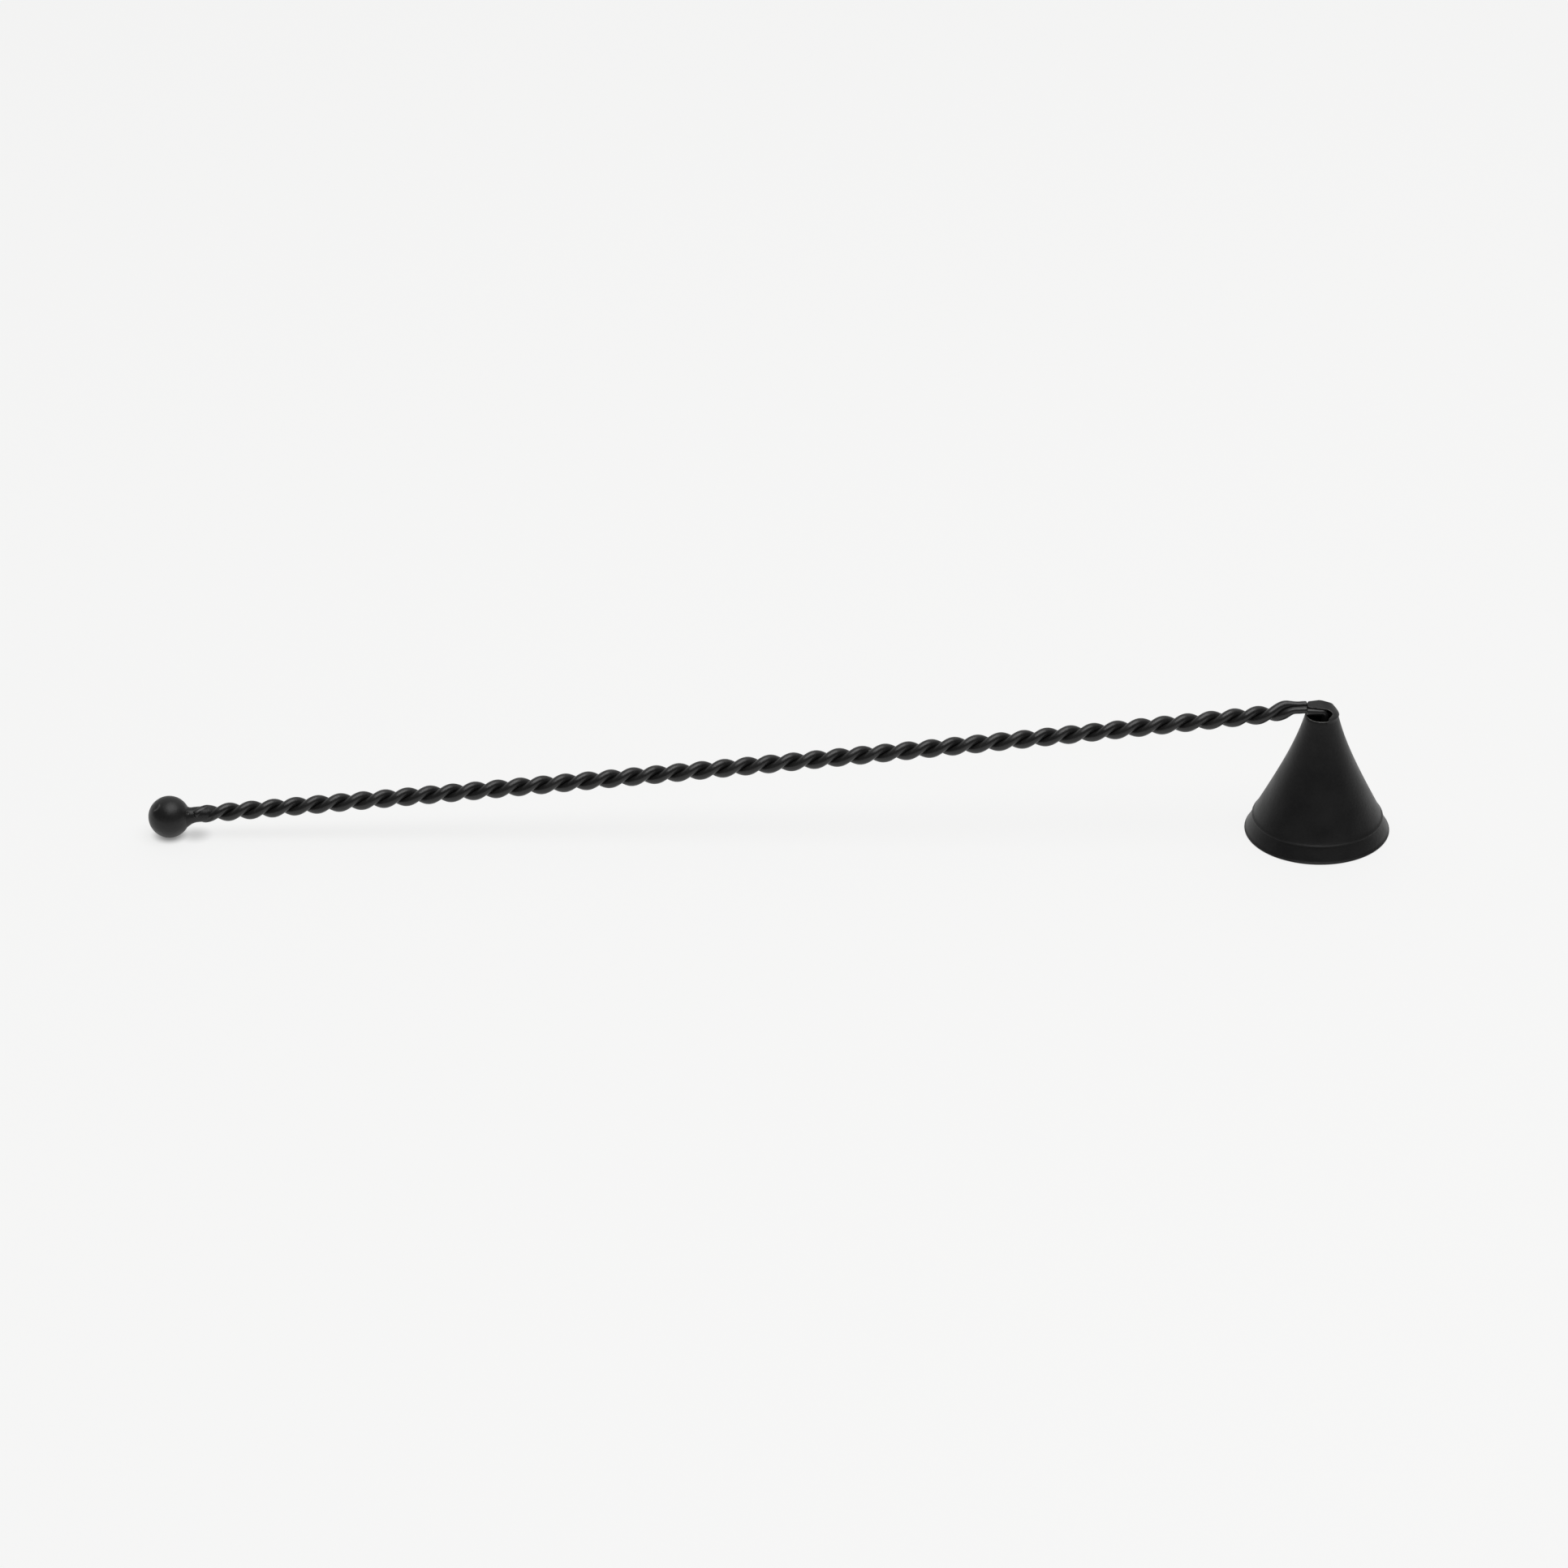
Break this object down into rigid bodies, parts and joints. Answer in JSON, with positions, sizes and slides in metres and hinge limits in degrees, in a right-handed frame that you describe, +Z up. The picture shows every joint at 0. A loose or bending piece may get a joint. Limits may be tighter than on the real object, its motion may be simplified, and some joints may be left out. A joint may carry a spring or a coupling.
{
  "type": "candle snuffer",
  "caption": "Conical bell hooked on a long twisted-wire handle with a ball knob, for putting out candle flames.",
  "frame": {"origin": "on the surface it stands on, midway along the overall length, under the handle's centre line", "axes": "+X along the handle from the ball towards the bell, +Z up along the bell's axis, +Y away from the viewer's side"},
  "size_m": [0.295, 0.0342, 0.0344],
  "materials": {
    "bell_coat": "matte black powder coat",
    "wire_coat": "satin black powder coat",
    "ball_coat": "satin black powder coat"
  },
  "bodies": {
    "handle": {"near_strand": "wire_coat", "far_strand": "wire_coat", "ball_knob": "ball_coat", "weld_neck": "ball_coat"},
    "bell": {"bell": "bell_coat"}
  },
  "joints": [
    {"name": "bell_tilt", "type": "hinge", "parent": "handle", "child": "bell", "pos_m": [0.13057, 0, 0.03162], "axis": [0, 1, 0], "range_deg": [-2, 6]}
  ]
}
